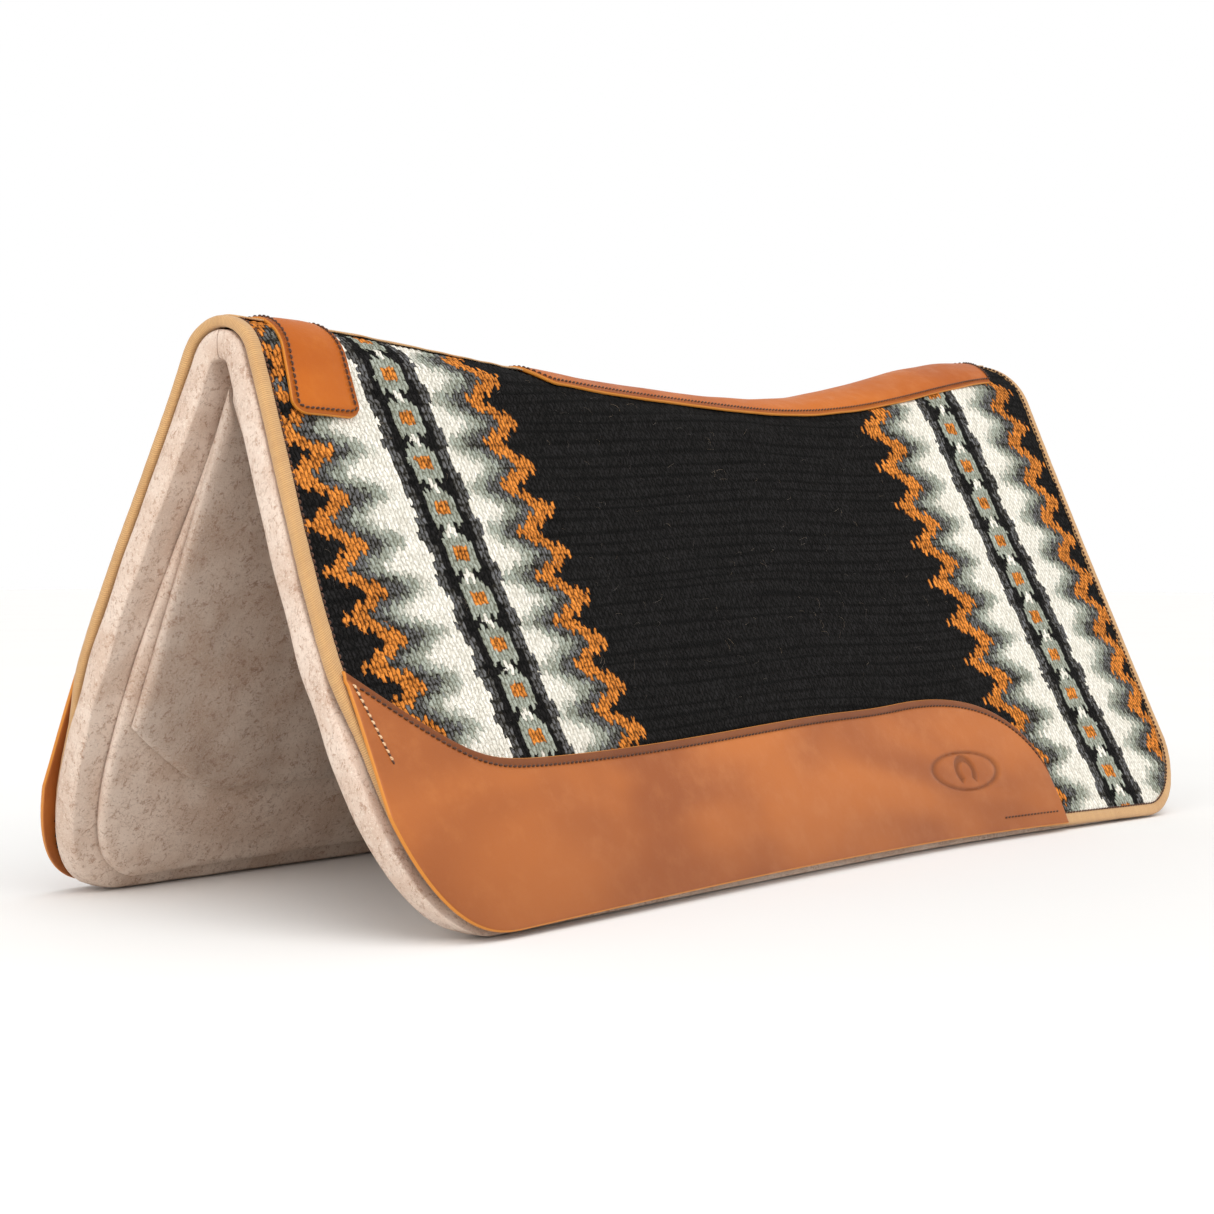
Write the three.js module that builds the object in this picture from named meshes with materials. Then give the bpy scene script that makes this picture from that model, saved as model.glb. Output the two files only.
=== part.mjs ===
// A contoured western saddle pad: two flaps that meet along the horse's spine.
// Millimetres. +X runs forward to the withers, +Y to the horse's left, +Z up.
// The hem of the felt lies at z = 0.
import * as THREE from "three";

// The ridge, seen from the side: a dip under the seat, highest at the loin.
const frontX = 401.5;
const rearX = -411.5;
const dipX = -30;
const frontZ = 309.8;
const dipZ = 291.8;
const rearZ = 340.3;
const dipFlatness = 1.15;

// The arch across the ridge, and the flaps below it.
const archRadiusFront = 27;
const archRadiusRear = 49;
const flapSlope = THREE.MathUtils.degToRad(67.5);
const flapFlare = THREE.MathUtils.degToRad(2.2) / 300;

// The outline of a flap: how far its ends bow out, and its lower corners.
const hemZ = 0.8;
const hemRise = 4.4;
const frontEnd = { bow: 14.1, cornerLong: 73, cornerHigh: 139, roundness: 2.7 };
const rearEnd = { bow: 4.2, cornerLong: 64, cornerHigh: 59, roundness: 1.7 };

// Thicknesses, from the woven top down to the bars under the saddle's panels.
const layerGap = 1.2;
const topThickness = 6;
const baseThickness = 14;
const panelThickness = 6;
const barThickness = 6;
const leatherThickness = 3;

// Borders between the outline and each layer.
const baseBorder = 0;
const topBorder = 9.4;
const panelBorder = 18;
const panelSetDown = 14;
const barBorder = 29;
const bindingWidth = 8;
const bindingProud = 1;

// Below the wear leather's front tip the blanket is set in from the felt's edge.
const setIn = { most: 6, fromV: 0.58, toV: 0.74, fromU: 0.18, toU: 0.28 };

// The two halves part by this much at the ridge and this angle below the fold.
const ridgeClearance = 0.4;
const foldClearance = THREE.MathUtils.degToRad(3.3);
const foldAbove = 3;

// The channel between the bars, with a tab of each bar closing it in front.
const channelDepth = 80;
const tabTop = 36;
const tabFrontX = 392;
const tabWidth = 17;
const tabCorner = 10;
const tabSetDown = 3;

const colours = {
  wool: 0x1c1b1a,
  felt: 0xb5a392,
  bar: 0xab9988,
  wear: 0xbe7644,
  saddleTan: 0xc8682a,
  tape: 0xd8ae74,
  thread: 0x4a2c1a,
};

const pad = new THREE.Group();

function finish(colour, roughness) {
  return new THREE.MeshStandardMaterial({ color: colour, roughness, metalness: 0 });
}

function addPiece(name, geometry, colour, roughness) {
  const piece = new THREE.Mesh(geometry, finish(colour, roughness));
  piece.name = name;
  pad.add(piece);
}

// Height of the ridge line: half a cosine wave, flattened a little, from the dip to each end.
function ridgeHeight(x) {
  const forward = x > dipX;
  const endX = forward ? frontX : rearX;
  const endZ = forward ? frontZ : rearZ;
  const share = Math.min((x - dipX) / (endX - dipX), 1);
  const wave = Math.cos(Math.PI * Math.pow(share, dipFlatness));
  return dipZ + ((endZ - dipZ) * (1 - wave)) / 2;
}

function archRadius(x) {
  return THREE.MathUtils.mapLinear(x, rearX, frontX, archRadiusRear, archRadiusFront);
}

// The point at arc length s down from the ridge and at a depth below the outer face.
// An arc turns from level to the flap's slope, then the flap flares very slightly.
function flapPoint(side, x, s, depth) {
  const radius = archRadius(x);
  const along = Math.min(s / radius, flapSlope);
  const down = Math.max(s - radius * flapSlope, 0);
  const chordAngle = flapSlope - (flapFlare * down) / 2;
  const slope = along - flapFlare * down;
  const y = radius * Math.sin(along) + down * Math.cos(chordAngle);
  const drop = radius * (1 - Math.cos(along)) + down * Math.sin(chordAngle);
  const z = ridgeHeight(x) - drop - depth * Math.cos(slope);
  return new THREE.Vector3(x, side * (y - depth * Math.sin(slope)), z);
}

// The largest s at which a test still holds, by halving.
function lastWhere(holds, low, high) {
  for (let i = 0; i < 30; i++) {
    const middle = (low + high) / 2;
    if (holds(middle)) low = middle;
    else high = middle;
  }
  return low;
}

// Where the flap's outer face reaches its hem, which rises a little mid-length.
function hemLength(x) {
  const z = hemZ + hemRise * (1 - Math.pow((2 * x) / (frontX - rearX), 2));
  return lastWhere((s) => flapPoint(1, x, s, 0).z > z, 0, 480);
}

// Where a layer at this depth reaches the ground plane.
function groundLength(x, depth) {
  return lastWhere((s) => flapPoint(1, x, s, depth).z > 0, 0, 480);
}

// Height of the fold axis over the ridge, on a line from end to end.
function foldHeight(x) {
  return THREE.MathUtils.mapLinear(x, rearX, frontX, rearZ, frontZ) + foldAbove;
}

// Where a layer starts beside the ridge, leaving the wedge that the fold needs.
function ridgeStart(x, depth) {
  const inside = (s) => {
    const p = flapPoint(1, x, s, depth);
    return p.y < ridgeClearance + (foldHeight(x) - p.z) * Math.tan(foldClearance);
  };
  return lastWhere(inside, 0, 160);
}

// The x of a flap's front or rear end, at share v of the way from ridge to hem.
// The end bows out, then its lower corner is a quarter of a rounded rectangle.
function endX(v, sign, border) {
  const end = sign > 0 ? frontEnd : rearEnd;
  const ridgeX = sign > 0 ? frontX : rearX;
  const length = hemLength(ridgeX) - border;
  const high = end.cornerHigh - border;
  const long = end.cornerLong - border;
  const cornerAt = 1 - high / length;
  const upper = THREE.MathUtils.smoothstep(v, 0, cornerAt);
  const lower = Math.max((v - cornerAt) / (1 - cornerAt), 0);
  const rounded = Math.pow(1 - Math.pow(Math.min(lower, 1), end.roundness), 1 / end.roundness);
  return ridgeX + sign * (end.bow * upper - border - long * (1 - rounded));
}

// How much further in the blanket's edge lies at share u of the length and v of the drape.
function edgeSetIn(u, v) {
  const down = THREE.MathUtils.smoothstep(v, setIn.fromV, setIn.toV);
  return setIn.most * down * THREE.MathUtils.smoothstep(u, setIn.fromU, setIn.toU);
}

// Shares from 0 to 1, closer together at both ends.
function shares(count) {
  return Array.from({ length: count + 1 }, (_, i) => (1 - Math.cos((Math.PI * i) / count)) / 2);
}

// A closed solid between two grids of points, with its faces turned outwards.
function solidBetween(upper, lower) {
  const rows = upper.length;
  const columns = upper[0].length;
  const points = [...upper.flat(), ...lower.flat()];
  const under = rows * columns;
  const index = [];
  const quad = (a, b, c, d) => index.push(a, b, c, a, c, d);
  const at = (i, j) => i * columns + j;
  for (let i = 0; i + 1 < rows; i++) {
    for (let j = 0; j + 1 < columns; j++) {
      quad(at(i, j), at(i + 1, j), at(i + 1, j + 1), at(i, j + 1));
      quad(under + at(i, j), under + at(i, j + 1), under + at(i + 1, j + 1), under + at(i + 1, j));
    }
    quad(at(i, 0), under + at(i, 0), under + at(i + 1, 0), at(i + 1, 0));
    const last = columns - 1;
    quad(at(i, last), at(i + 1, last), under + at(i + 1, last), under + at(i, last));
  }
  for (let j = 0; j + 1 < columns; j++) {
    quad(at(0, j), at(0, j + 1), under + at(0, j + 1), under + at(0, j));
    const last = rows - 1;
    quad(at(last, j), under + at(last, j), under + at(last, j + 1), at(last, j + 1));
  }
  return outward(points, index);
}

// A closed solid swept through rings of points; a loop joins its last ring to its first.
function solidAlong(rings, loop) {
  const around = rings[0].length;
  const points = rings.flat();
  const index = [];
  const steps = loop ? rings.length : rings.length - 1;
  for (let i = 0; i < steps; i++) {
    const here = i * around;
    const next = ((i + 1) % rings.length) * around;
    for (let k = 0; k < around; k++) {
      const after = (k + 1) % around;
      index.push(here + k, next + k, next + after, here + k, next + after, here + after);
    }
  }
  if (!loop) {
    const last = points.length - around;
    for (let k = 1; k + 1 < around; k++) {
      index.push(0, k, k + 1, last, last + k + 1, last + k);
    }
  }
  return outward(points, index);
}

// Builds the geometry, reversing every face if its volume comes out negative.
function outward(points, index) {
  let volume = 0;
  const cross = new THREE.Vector3();
  for (let i = 0; i < index.length; i += 3) {
    const [a, b, c] = [points[index[i]], points[index[i + 1]], points[index[i + 2]]];
    volume += a.dot(cross.crossVectors(b, c));
  }
  if (volume < 0) index.reverse();
  const geometry = new THREE.BufferGeometry().setFromPoints(points);
  geometry.setIndex(index);
  geometry.computeVertexNormals();
  return geometry;
}

// A layer that follows the flap's whole outline, from one depth to another.
function flapLayer(side, { border, depth, thickness, rows, columns, hem, setDown = 0, inset = () => 0 }) {
  const face = (d) =>
    shares(rows).map((v) =>
      Array.from({ length: columns + 1 }, (_, j) => {
        const u = j / columns;
        const x = THREE.MathUtils.lerp(endX(v, -1, border), endX(v, 1, border + inset(1, v)), u);
        const start = ridgeStart(x, d) + setDown;
        const end = hem(x, d) - inset(u, 1);
        return flapPoint(side, x, THREE.MathUtils.lerp(start, end, v), d);
      }),
    );
  return solidBetween(face(depth), face(depth + thickness));
}

const baseDepth = topThickness + layerGap;
const panelDepth = baseDepth + baseThickness + layerGap;
const barDepth = panelDepth + panelThickness + layerGap;

function wovenTop(side) {
  const hem = (x) => hemLength(x) - topBorder;
  const size = { border: topBorder, depth: 0, thickness: topThickness };
  return flapLayer(side, { ...size, rows: 16, columns: 13, hem, inset: edgeSetIn });
}

// The base is cut flat where it stands.
function feltBase(side) {
  const size = { border: baseBorder, depth: baseDepth, thickness: baseThickness };
  return flapLayer(side, { ...size, rows: 20, columns: 13, hem: groundLength });
}

function feltPanel(side) {
  const hem = (x) => hemLength(x) - panelBorder;
  const size = { border: panelBorder, depth: panelDepth, thickness: panelThickness };
  return flapLayer(side, { ...size, rows: 20, columns: 11, hem, setDown: panelSetDown });
}

// A piece made of columns: each runs from top(x) to bottom(x) down the flap.
function columnPiece(side, { stations, rows, top, bottom, depth, thickness }) {
  const face = (d) =>
    stations.map((x) =>
      Array.from({ length: rows + 1 }, (_, i) => {
        return flapPoint(side, x, THREE.MathUtils.lerp(top(x, d), bottom(x), i / rows), d);
      }),
    );
  return solidBetween(face(depth), face(depth + thickness));
}

// Upper edge of the wear leather: a long low curve between two slanted ends.
const wear = { rearX: -232, frontX: 411, rearRound: 90, crestS: 261, seatS: 240 };

function wearTop(x) {
  const nose = Math.max(x - 330, 0) / (wear.frontX - 330);
  const heel = Math.max(-80 - x, 0) / (-80 - wear.rearX);
  const crest = wear.seatS + (wear.crestS - wear.seatS) * THREE.MathUtils.smoothstep(x, -20, 330);
  const heelDrop = 1 - Math.sqrt(Math.max(1 - Math.pow(heel, 2.2), 0));
  return crest - 52 * Math.pow(nose, 1.15) + wear.rearRound * heelDrop;
}

// Lower edge of the wear leather: the flap's hem and its front corner.
function wearBottom(x) {
  const long = frontEnd.cornerLong;
  const maxX = frontX + frontEnd.bow;
  const length = hemLength(frontX);
  const past = THREE.MathUtils.clamp((x - (maxX - long)) / long, 0, 1);
  const rounded = Math.pow(1 - Math.pow(past, frontEnd.roundness), 1 / frontEnd.roundness);
  return hemLength(x) - Math.min(frontEnd.cornerHigh, length) * (1 - rounded);
}

const wearDepth = -(bindingProud + 1.4 + leatherThickness);

function wearLeather(side) {
  const stations = shares(22).map((t) => THREE.MathUtils.lerp(wear.rearX, wear.frontX, t));
  const edges = { top: wearTop, bottom: wearBottom };
  return columnPiece(side, { stations, rows: 4, ...edges, depth: wearDepth, thickness: leatherThickness });
}

// Top edge of a bar: the channel's side, rising round a corner to the front tab.
function barTop(x, depth) {
  const tabRear = tabFrontX - tabWidth;
  const rise = THREE.MathUtils.smoothstep(x, tabRear - tabCorner, tabRear);
  const top = channelDepth - (channelDepth - tabTop) * rise;
  return Math.max(top, ridgeStart(x, depth) + tabSetDown);
}

// Bottom edge of a bar: level with the wear leather, raised towards the front end.
function barBottom(x) {
  const front = Math.max(x - 320, 0) / (tabFrontX - 320);
  return wearTop(Math.min(Math.max(x, -60), 300)) + 14 - 40 * Math.pow(front, 1.3);
}

function feltBar(side) {
  const rear = rearX + barBorder;
  const tabRear = tabFrontX - tabWidth;
  const long = Array.from({ length: 11 }, (_, i) => THREE.MathUtils.lerp(rear, tabRear - tabCorner, i / 10));
  const short = Array.from({ length: 5 }, (_, i) => tabRear - tabCorner + (tabCorner * (i + 1)) / 5);
  const stations = [...long, ...short, (tabRear + tabFrontX) / 2, tabFrontX];
  const edges = { top: barTop, bottom: barBottom };
  return columnPiece(side, { stations, rows: 8, ...edges, depth: barDepth, thickness: barThickness });
}

// Stations round a flap's outline, from the front of the ridge to the rear.
function outlineStations() {
  const down = shares(20).slice(2);
  const front = down.map((v) => ({ v, u: 1 }));
  const hem = Array.from({ length: 18 }, (_, i) => ({ v: 1, u: 1 - (i + 1) / 19 }));
  const rear = down.map((v) => ({ v, u: 0 })).reverse();
  return [...front, ...hem, ...rear];
}

// A point of the blanket's outline, moved in by a border.
function outlinePoint(side, { u, v }, border, depth) {
  const edge = border + edgeSetIn(u, v);
  const x = THREE.MathUtils.lerp(endX(v, -1, edge), endX(v, 1, edge), u);
  return flapPoint(side, x, v * (hemLength(x) - edge), depth);
}

// A flat strip that follows the outline between two borders and two depths.
function outlineStrip(side, outer, inner, top, bottom) {
  const rings = outlineStations().map((station) => [
    outlinePoint(side, station, outer, top),
    outlinePoint(side, station, inner, top),
    outlinePoint(side, station, inner, bottom),
    outlinePoint(side, station, outer, bottom),
  ]);
  return solidAlong(rings, false);
}

const threadWidth = 1.2;
const threadHeight = 0.5;
const threadGap = 0.3;

function edgeBinding(side) {
  return outlineStrip(side, 0, bindingWidth, -bindingProud, topThickness);
}

function bindingThread(side) {
  const outer = bindingWidth - 1 - threadWidth;
  const top = -bindingProud - threadGap - threadHeight;
  return outlineStrip(side, outer, outer + threadWidth, top, top + threadHeight);
}

// A run of stitching along a path of { x, s } points on a face at some depth.
function stitching(side, path, faceDepth, loop) {
  const top = faceDepth - threadGap - threadHeight;
  const rings = path.map((p, i) => {
    const before = path[loop ? (i + path.length - 1) % path.length : Math.max(i - 1, 0)];
    const after = path[loop ? (i + 1) % path.length : Math.min(i + 1, path.length - 1)];
    const along = Math.hypot(after.x - before.x, after.s - before.s);
    const across = { x: -(after.s - before.s) / along, s: (after.x - before.x) / along };
    const corner = (share, depth) => {
      const shift = share * threadWidth;
      return ridgePoint(side, p.x + across.x * shift, p.s + across.s * shift, depth);
    };
    const bottom = top + threadHeight;
    return [corner(-0.5, top), corner(0.5, top), corner(0.5, bottom), corner(-0.5, bottom)];
  });
  return solidAlong(rings, loop);
}

// A point whose s may be negative: it then lies on the other side of the ridge.
function ridgePoint(side, x, s, depth) {
  return flapPoint(s < 0 ? -side : side, x, Math.abs(s), depth);
}

const wearStitchInset = 7;

function wearUpperPath() {
  const first = wear.rearX + 12;
  const last = wear.frontX - 8;
  return shares(26).map((t) => {
    const x = THREE.MathUtils.lerp(first, last, t);
    return { x, s: wearTop(x) + wearStitchInset };
  });
}

function wearFrontPath() {
  return [0, 1, 2, 3].map((i) => ({ x: wear.frontX - 5 - 2.2 * i, s: 224 + 11 * i }));
}

function wearRearPath() {
  return [0, 1, 2, 3].map((i) => {
    const x = -162 - 20 * i;
    return { x, s: wearBottom(x) - 9 };
  });
}

// A piece laid over the ridge: a strip of half width reach(x), symmetric in y.
function ridgePiece({ stations, rows, reach, skew, depth, thickness }) {
  const face = (d) =>
    stations.map((x) =>
      Array.from({ length: rows + 1 }, (_, i) => {
        const s = reach(x) * ((2 * i) / rows - 1);
        return ridgePoint(1, x + skew(x) * Math.abs(s), s, d);
      }),
    );
  return solidBetween(face(depth), face(depth + thickness));
}

const tapeReach = 9;
const tapeThickness = 1.2;
const tapeDepth = -(bindingProud + tapeThickness) + 0.2;

function spineTape() {
  const stations = Array.from({ length: 25 }, (_, i) => {
    return THREE.MathUtils.lerp(rearX + topBorder + 1, frontX - topBorder - 1, i / 24);
  });
  const shape = { reach: () => tapeReach, skew: () => 0 };
  return ridgePiece({ stations, rows: 6, ...shape, depth: tapeDepth, thickness: tapeThickness });
}

// The withers patch is set back from the front end and widens as it goes down.
const patch = { rearX: 334, frontX: 376, reach: 69, corner: 9, lean: 0.17 };
const ridgeLeather = 2.6;
const ridgeLeatherDepth = tapeDepth - layerGap - ridgeLeather;

function patchReach(x) {
  const fromEnd = Math.min(x - patch.rearX, patch.frontX - x);
  const into = Math.max(patch.corner - fromEnd, 0);
  return patch.reach - patch.corner + Math.sqrt(patch.corner ** 2 - into ** 2);
}

function patchSkew(x) {
  return patch.lean * THREE.MathUtils.mapLinear(x, patch.rearX, patch.frontX, 0.35, 1);
}

function withersPatch() {
  const stations = shares(8).map((t) => THREE.MathUtils.lerp(patch.rearX, patch.frontX, t));
  const shape = { reach: patchReach, skew: patchSkew };
  return ridgePiece({ stations, rows: 16, ...shape, depth: ridgeLeatherDepth, thickness: ridgeLeather });
}

// A loop of stitching inside the edge of a piece that lies over the ridge.
function ridgeLoop(xRear, xFront, reach, skew, columns, rows) {
  const path = [];
  const place = (x, s) => path.push({ x: x + skew(x) * Math.abs(s), s });
  const ends = shares(columns).map((t) => THREE.MathUtils.lerp(xRear, xFront, t));
  const across = (t) => reach(xFront) * (1 - (2 * t) / rows);
  ends.forEach((x) => place(x, reach(x)));
  for (let t = 1; t < rows; t++) place(xFront, across(t));
  ends.reverse().forEach((x) => place(x, -reach(x)));
  for (let t = 1; t < rows; t++) place(xRear, reach(xRear) * ((2 * t) / rows - 1));
  return path;
}

function withersThread() {
  const inset = 4.5;
  const reach = (x) => patchReach(x) - inset;
  const path = ridgeLoop(patch.rearX + inset, patch.frontX - inset, reach, patchSkew, 6, 24);
  return stitching(1, path, ridgeLeatherDepth, true);
}

// The spine strip widens towards the loin; its front end is a round nose.
const strip = { rearX: -392, frontX: 168, nose: 18, frontReach: 20, rearReach: 39 };

function stripReach(x) {
  const wide = THREE.MathUtils.smoothstep(x, -330, 60);
  const reach = THREE.MathUtils.lerp(strip.rearReach, strip.frontReach + 4, wide);
  const into = Math.max(x - (strip.frontX - strip.nose), 0) / strip.nose;
  return reach * Math.sqrt(Math.max(1 - into ** 2, 0.04));
}

// The rear end slants forward on both sides of the ridge.
function stripSkew(x) {
  return 0.7 * Math.max(1 - (x - strip.rearX) / 60, 0) ** 2;
}

function spineStrip() {
  const stations = shares(20).map((t) => THREE.MathUtils.lerp(strip.rearX, strip.frontX, t));
  const shape = { reach: stripReach, skew: stripSkew };
  return ridgePiece({ stations, rows: 10, ...shape, depth: ridgeLeatherDepth, thickness: ridgeLeather });
}

function stripThread() {
  const inset = 4.5;
  const reach = (x) => Math.max(stripReach(x) - inset, 2);
  const path = ridgeLoop(strip.rearX + inset + 2, strip.frontX - 6, reach, stripSkew, 26, 12);
  return stitching(1, path, ridgeLeatherDepth, true);
}

for (const [sideName, side] of [["left", 1], ["right", -1]]) {
  addPiece("woven_top_" + sideName, wovenTop(side), colours.wool, 0.95);
  addPiece("felt_base_" + sideName, feltBase(side), colours.felt, 0.98);
  addPiece("felt_panel_" + sideName, feltPanel(side), colours.felt, 0.98);
  addPiece("felt_bar_" + sideName, feltBar(side), colours.bar, 0.98);
  addPiece("wear_leather_" + sideName, wearLeather(side), colours.wear, 0.5);
  addPiece("edge_binding_" + sideName, edgeBinding(side), colours.tape, 0.85);
  addPiece("binding_thread_" + sideName, bindingThread(side), colours.thread, 0.7);
  const rows = { upper: wearUpperPath(), front: wearFrontPath(), rear: wearRearPath() };
  for (const [rowName, path] of Object.entries(rows)) {
    const thread = stitching(side, path, wearDepth, false);
    addPiece("wear_" + rowName + "_thread_" + sideName, thread, colours.thread, 0.7);
  }
}
addPiece("spine_tape", spineTape(), colours.tape, 0.85);
addPiece("withers_patch", withersPatch(), colours.saddleTan, 0.5);
addPiece("withers_patch_thread", withersThread(), colours.thread, 0.7);
addPiece("spine_strip", spineStrip(), colours.saddleTan, 0.5);
addPiece("spine_strip_thread", stripThread(), colours.thread, 0.7);

export default pad;
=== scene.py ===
import bpy
import numpy as np
from math import radians, pi
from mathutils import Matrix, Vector


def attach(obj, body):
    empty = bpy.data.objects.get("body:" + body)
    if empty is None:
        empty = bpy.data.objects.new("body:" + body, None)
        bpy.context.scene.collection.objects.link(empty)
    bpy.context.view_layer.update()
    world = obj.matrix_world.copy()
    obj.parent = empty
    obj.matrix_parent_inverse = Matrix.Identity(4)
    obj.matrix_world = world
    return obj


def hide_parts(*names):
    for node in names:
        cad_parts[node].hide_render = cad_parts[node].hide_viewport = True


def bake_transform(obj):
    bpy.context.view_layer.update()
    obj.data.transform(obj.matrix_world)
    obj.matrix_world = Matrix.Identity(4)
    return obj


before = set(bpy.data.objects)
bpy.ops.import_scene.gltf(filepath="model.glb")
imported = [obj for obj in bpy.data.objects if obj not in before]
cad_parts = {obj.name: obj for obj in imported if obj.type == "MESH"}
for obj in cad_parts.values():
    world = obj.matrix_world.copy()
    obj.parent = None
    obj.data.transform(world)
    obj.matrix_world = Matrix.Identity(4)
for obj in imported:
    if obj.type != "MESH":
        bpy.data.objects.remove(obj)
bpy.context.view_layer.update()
print("frame loaded")

# metres; x runs forward along the ridge, arc length s runs down a flap from the ridge,
# positive on the horse's left and negative on its right
pad = dict(
    frontX=0.4015, rearX=-0.4115, dipX=-0.030,
    frontZ=0.3098, dipZ=0.2918, rearZ=0.3403, dipFlatness=1.15,
    archFront=0.027, archRear=0.049,
    slope=radians(67.5), flare=radians(2.2) / 0.3,
    hemZ=0.0008, hemRise=0.0044,
    frontEnd=dict(bow=0.0141, long=0.073, high=0.139, round=2.7),
    rearEnd=dict(bow=0.0042, long=0.064, high=0.059, round=1.7),
    foldHalf=0.035,  # a length to each side of the ridge
    setIn=dict(most=0.006, down=(0.58, 0.74), along=(0.18, 0.28)),
)


def smooth(x, low, high):
    t = np.clip((x - low) / (high - low), 0, 1)
    return t * t * (3 - 2 * t)


def lengthShare(x):
    return (x - pad["rearX"]) / (pad["frontX"] - pad["rearX"])


def unit(vectors):
    return vectors / np.linalg.norm(vectors, axis=1, keepdims=True)


def ridgeHeight(x):
    # half a cosine wave, flattened a little, from the dip to each end
    forward = x > pad["dipX"]
    endX = np.where(forward, pad["frontX"], pad["rearX"])
    endZ = np.where(forward, pad["frontZ"], pad["rearZ"])
    share = np.clip((x - pad["dipX"]) / (endX - pad["dipX"]), 0, 1)
    return pad["dipZ"] + (endZ - pad["dipZ"]) * (1 - np.cos(pi * share ** pad["dipFlatness"])) / 2


def archRadius(x):
    return pad["archRear"] + (pad["archFront"] - pad["archRear"]) * lengthShare(x)


def arcAndLeg(x, s):
    # radius and angle of the arc, which turns evenly to the flap's slope, and way down the leg
    radius = archRadius(x)
    down = np.maximum(np.abs(s) - radius * pad["slope"], 0)
    return radius, np.minimum(np.abs(s) / radius, pad["slope"]), down


def slopeAt(x, s):
    # the flap flares a little on its way down
    _, turn, down = arcAndLeg(x, s)
    return turn - pad["flare"] * down


def padPoint(x, s, depth):
    # arc, then leg: y = r sin a + l cos b, z = ridge - r(1 - cos a) - l sin b,
    # less depth along the normal
    x, s, depth = np.broadcast_arrays(x, s, depth)
    side = np.where(s < 0, -1.0, 1.0)
    radius, turn, down = arcAndLeg(x, s)
    chord = pad["slope"] - pad["flare"] * down / 2
    slope = slopeAt(x, s)
    y = radius * np.sin(turn) + down * np.cos(chord) - depth * np.sin(slope)
    z = ridgeHeight(x) - radius * (1 - np.cos(turn)) - down * np.sin(chord) - depth * np.cos(slope)
    return np.stack([x, side * y, z], -1)


def padNormal(x, s):
    x, s = np.broadcast_arrays(x, s)
    slope = slopeAt(x, s)
    return np.stack([0 * x, np.where(s < 0, -1.0, 1.0) * np.sin(slope), np.cos(slope)], -1)


def lastWhere(holds, low, high, like):
    # halving, for every x at once
    low, high = low + 0 * like, high + 0 * like
    for _ in range(24):
        middle = (low + high) / 2
        good = holds(middle)
        low, high = np.where(good, middle, low), np.where(good, high, middle)
    return low


def hemLength(x):
    z = pad["hemZ"] + pad["hemRise"] * (1 - (2 * x / (pad["frontX"] - pad["rearX"])) ** 2)
    return lastWhere(lambda s: padPoint(x, s, 0)[..., 2] > z, 0.0, 0.48, x)


def groundLength(x, depth):
    return lastWhere(lambda s: padPoint(x, s, depth)[..., 2] > 0, 0.0, 0.48, x + 0 * depth)


def ridgeStart(x, depth):
    # where a layer at this depth comes out of the plane that both flaps share
    return lastWhere(lambda s: padPoint(x, s, depth)[..., 1] < 0.0003, 0.0, 0.16, x + 0 * depth)


def edgeSetIn(u, v):
    # below the wear leather's front tip the blanket's edge lies in from the felt's:
    # one smooth step down the drape times one along the length
    setIn = pad["setIn"]
    return setIn["most"] * smooth(v, *setIn["down"]) * smooth(u, *setIn["along"])


hemFront = float(hemLength(np.array(pad["frontX"])))
hemRear = float(hemLength(np.array(pad["rearX"])))


def endX(v, sign, border):
    # a smooth bow outwards, then a quarter of a rounded rectangle at the lower corner
    front, rear = (pad["frontEnd"], pad["frontX"], hemFront), (pad["rearEnd"], pad["rearX"], hemRear)
    end, ridgeX, hem = front if sign > 0 else rear
    high, long = end["high"] - border, end["long"] - border
    cornerAt = 1 - high / (hem - border)
    t = np.clip(v / cornerAt, 0, 1)
    past = np.clip((v - cornerAt) / (1 - cornerAt), 0, 1)
    rounded = (1 - past ** end["round"]) ** (1 / end["round"])
    return ridgeX + sign * (end["bow"] * t * t * (3 - 2 * t) - border - long * (1 - rounded))


def meshFrom(name, points, faces, uv=None, attributes=None, sharp=50):
    mesh = bpy.data.meshes.new(name)
    points = points.reshape(-1, 3)
    mesh.vertices.add(len(points))
    mesh.vertices.foreach_set("co", points.astype(np.float32).ravel())
    mesh.loops.add(faces.size)
    mesh.loops.foreach_set("vertex_index", faces.astype(np.int32).ravel())
    mesh.polygons.add(len(faces))
    mesh.polygons.foreach_set("loop_start", np.arange(0, faces.size, faces.shape[1], dtype=np.int32))
    mesh.update(calc_edges=True)
    if uv is not None:
        layer = mesh.uv_layers.new(name="weave")
        uv = uv.reshape(-1, 2)
        corners = uv if len(uv) == faces.size else uv[faces.ravel()]
        layer.data.foreach_set("uv", corners.astype(np.float32).ravel())
    for key, values in (attributes or {}).items():
        layer = mesh.attributes.new(key, "FLOAT", "POINT")
        layer.data.foreach_set("value", values.astype(np.float32).ravel())
    mesh.validate()
    mesh.shade_smooth()
    if sharp:
        mesh.set_sharp_from_angle(angle=radians(sharp))
    piece = bpy.data.objects.new(name, mesh)
    bpy.context.scene.collection.objects.link(piece)
    return piece


def sided(name, side):
    return name + ("_left" if side > 0 else "_right")


def dressed(piece, material):
    piece.data.materials.append(material)
    return piece


def gridFaces(rows, columns, start=0, flip=False):
    i, j = np.meshgrid(np.arange(rows - 1), np.arange(columns - 1), indexing="ij")
    a = start + (i * columns + j).ravel()
    quads = np.stack([a, a + columns, a + columns + 1, a + 1], -1)
    return quads[:, ::-1] if flip else quads


def ringFaces(rings, around, loop, flip=False):
    # quads of a tube whose points are stored ring by ring
    i = np.arange(rings if loop else rings - 1)[:, None]
    k = np.arange(around)[None, :]
    here, ahead = i * around, ((i + 1) % rings) * around
    after = (k + 1) % around
    quads = np.stack([here + k, ahead + k, ahead + after, here + after], -1).reshape(-1, 4)
    return quads[:, ::-1] if flip else quads


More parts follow.
